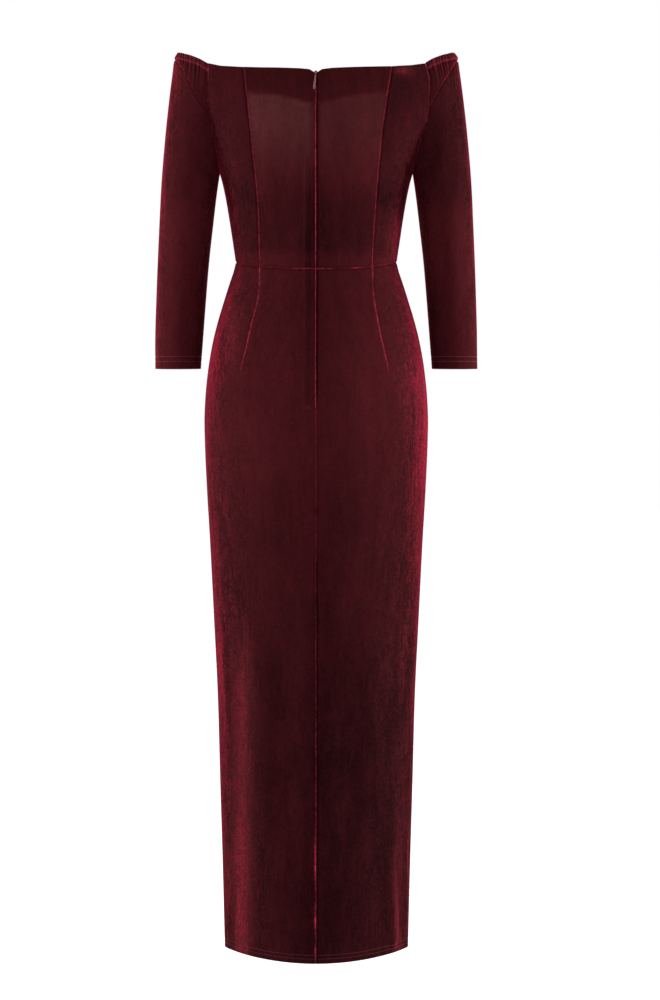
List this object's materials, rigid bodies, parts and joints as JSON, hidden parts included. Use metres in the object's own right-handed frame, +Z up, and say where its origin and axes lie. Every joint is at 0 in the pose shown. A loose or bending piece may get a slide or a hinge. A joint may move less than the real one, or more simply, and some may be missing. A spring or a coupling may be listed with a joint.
{
  "type": "off-the-shoulder evening gown",
  "caption": "Long off-the-shoulder column gown with three-quarter sleeves, princess-seamed back bodice, waist seam, concealed back zip and level hem, held open in its worn form.",
  "frame": {"origin": "centre of the wearer's waist, at the height of the side ends of the waist seam", "axes": "+Z up along the wearer, -Y the way the wearer faces, +X to the wearer's left; the zip is on the +Y side"},
  "size_m": [0.4814, 0.2564, 1.3296],
  "materials": {
    "velvet": "deep burgundy stretch velvet, short pile with a crimson sheen",
    "zip_tape": "woven tape dyed to match",
    "zip_metal": "lacquered to match the velvet"
  },
  "bodies": {
    "dress": {"bodice_back_center_left": "velvet", "bodice_back_center_right": "velvet", "bodice_back_side_left": "velvet", "bodice_back_side_right": "velvet", "bodice_front": "velvet", "skirt_back_left": "velvet", "skirt_back_right": "velvet", "skirt_front": "velvet", "sleeve_left": "velvet", "sleeve_right": "velvet", "shoulder_band_left": "velvet", "shoulder_band_right": "velvet", "zip_tape": "zip_tape", "zip_slider": "zip_metal"},
    "zip_pull": {"zip_pull_tab": "zip_metal"}
  },
  "joints": [
    {"name": "pull_tab_swing", "type": "hinge", "parent": "dress", "child": "zip_pull", "pos_m": [0, 0.09676, 0.265], "axis": [1, 0, 0], "range_deg": [0, 150]}
  ]
}
